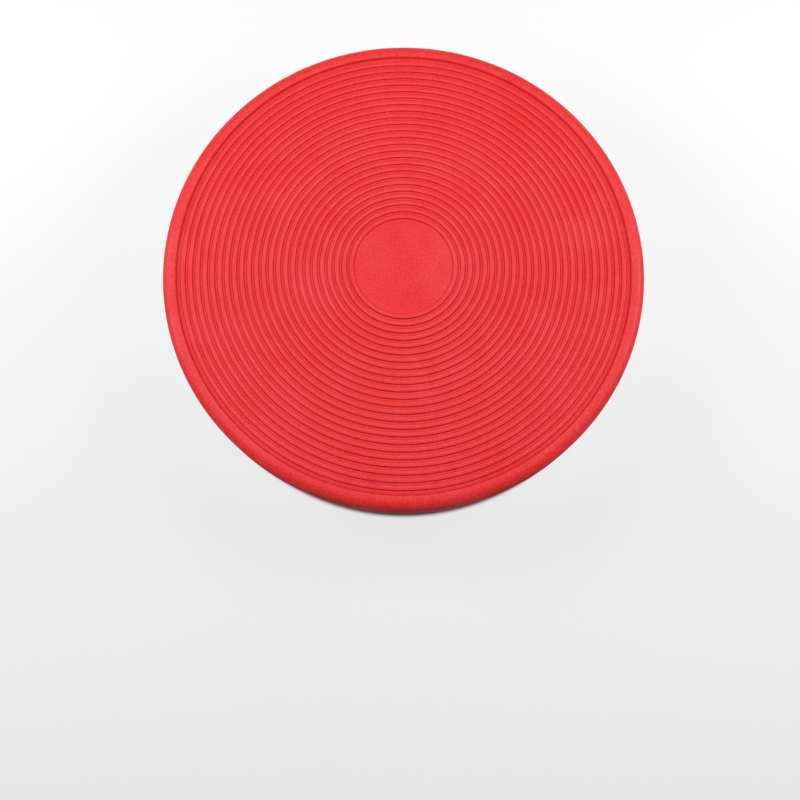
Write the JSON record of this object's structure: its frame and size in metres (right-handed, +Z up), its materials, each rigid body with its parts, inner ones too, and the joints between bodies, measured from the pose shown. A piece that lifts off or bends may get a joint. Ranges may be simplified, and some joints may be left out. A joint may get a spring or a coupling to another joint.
{
  "type": "wobble board",
  "caption": "Round hollow plastic standing board with concentric grip ribs and a raised rim on top, and a shallow dome underneath that it rocks on.",
  "frame": {"origin": "on the floor, at the middle of the dome's flat foot", "axes": "+Z up along the board's turning axis, out of the deck that is stood on; the board is round, so X and Y are free"},
  "size_m": [0.4007, 0.4008, 0.095],
  "materials": {
    "shell_red": "matte, fine moulded grain",
    "weld_red": "satin, melted",
    "plug_red": "satin"
  },
  "bodies": {
    "root": {"deck_shell": "shell_red", "base_shell": "shell_red", "rim_weld": "weld_red", "ring_weld": "weld_red", "hub_weld": "weld_red", "vent_plug": "plug_red"}
  },
  "joints": []
}
